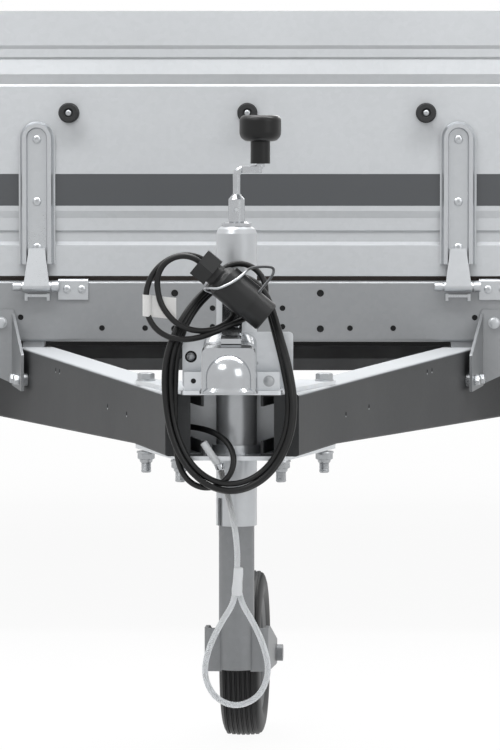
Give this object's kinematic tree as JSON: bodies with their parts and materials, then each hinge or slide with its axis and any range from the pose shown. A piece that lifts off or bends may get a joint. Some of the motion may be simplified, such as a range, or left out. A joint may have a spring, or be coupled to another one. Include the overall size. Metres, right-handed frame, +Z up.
{
  "type": "utility trailer",
  "caption": "Single-axle galvanised box trailer with folding front board and tailgate, V drawbar, ball coupling, jockey wheel, coiled lighting cable and breakaway rope.",
  "frame": {"origin": "centre of the overall box on the ground plane, without the cable, plug and rope", "axes": "+Z up, -Y towards the coupling, +X to the left-hand wheel side as seen when facing the coupling from behind"},
  "size_m": [1.71, 3.56, 0.896],
  "materials": {
    "zinc_sheet": "hot-dip zinc, satin",
    "zinc_dull": "hot-dip zinc, dull",
    "bright_zinc": "electroplated zinc",
    "axle_black": "black coat",
    "screw_steel": "greased steel",
    "plywood": "film-faced",
    "knob_rubber": "black rubber",
    "tyre": "black rubber",
    "jockey_rubber": "black rubber",
    "rim_silver": "silver coat",
    "jockey_rim_steel": "zinc",
    "guard_plastic": "grained",
    "lamp_plastic": "lens",
    "black_plastic": "moulded",
    "plug_plastic": "moulded",
    "cable_sheath": "smooth sheath",
    "rope_fibre": "twisted"
  },
  "bodies": {
    "chassis": {"frame_beams": "zinc_sheet", "side_rails": "zinc_sheet", "cross_members": "zinc_sheet", "floor": "plywood", "drawbar_arms": "zinc_dull", "drawbar_plates": "zinc_sheet", "frame_brackets": "zinc_sheet", "coupling_head": "bright_zinc", "coupling_lever": "bright_zinc", "jockey_clamp": "zinc_sheet", "side_boards": "zinc_sheet", "corner_posts": "zinc_sheet", "hinge_leaves": "zinc_sheet", "side_knobs": "knob_rubber", "axle_beam": "axle_black", "axle_brackets": "zinc_dull", "axle_arms": "axle_black", "mudguards": "guard_plastic", "lamp_bracket": "zinc_sheet", "lamps": "lamp_plastic", "jockey_tube": "bright_zinc", "jockey_crank": "bright_zinc", "jockey_grip": "black_plastic", "plug": "plug_plastic", "cable_coil": "cable_sheath", "cable_loops": "cable_sheath", "cable_lead": "cable_sheath", "cable_tail": "cable_sheath", "rope_lead": "rope_fibre", "rope_fittings": "bright_zinc", "rope_loop": "rope_fibre"},
    "wheel_left": {"tyre_left": "tyre", "rim_left": "rim_silver"},
    "wheel_right": {"tyre_right": "tyre", "rim_right": "rim_silver"},
    "front_board_body": {"front_board": "zinc_sheet", "front_straps": "zinc_sheet", "front_knobs": "knob_rubber", "front_latches": "zinc_sheet"},
    "tailgate_body": {"tailgate": "zinc_sheet", "tailgate_straps": "zinc_sheet", "tailgate_knobs": "knob_rubber", "tailgate_latches": "zinc_sheet"},
    "jockey_slide": {"jockey_nut": "screw_steel"},
    "jockey_caster": {"jockey_fork": "bright_zinc"},
    "jockey_wheel": {"jockey_tyre": "jockey_rubber", "jockey_rim": "jockey_rim_steel"}
  },
  "joints": [
    {"name": "wheel_left_spin", "type": "hinge", "parent": "chassis", "child": "wheel_left", "pos_m": [-0.7595, 0.6275, 0.2735], "axis": [1, 0, 0], "continuous": true},
    {"name": "wheel_right_spin", "type": "hinge", "parent": "chassis", "child": "wheel_right", "pos_m": [0.7595, 0.6275, 0.2735], "axis": [1, 0, 0], "continuous": true},
    {"name": "front_board_hinge", "type": "hinge", "parent": "chassis", "child": "front_board_body", "pos_m": [0, -0.6615, 0.512], "axis": [1, 0, 0], "range_deg": [0, 100]},
    {"name": "tailgate_hinge", "type": "hinge", "parent": "chassis", "child": "tailgate_body", "pos_m": [0, 1.7665, 0.512], "axis": [-1, 0, 0], "range_deg": [0, 180]},
    {"name": "jockey_lift", "type": "slide", "parent": "chassis", "child": "jockey_slide", "axis": [0, 0, 1], "range_m": [-0.1, 0.115]},
    {"name": "jockey_swivel", "type": "hinge", "parent": "jockey_slide", "child": "jockey_caster", "pos_m": [0.004, -1.6205, 0.2], "axis": [0, 0, 1], "range_deg": [-86.5, 93.5]},
    {"name": "jockey_roll", "type": "hinge", "parent": "jockey_caster", "child": "jockey_wheel", "pos_m": [0.01181, -1.49274, 0.1], "axis": [0.9981, -0.061, 0], "continuous": true}
  ]
}
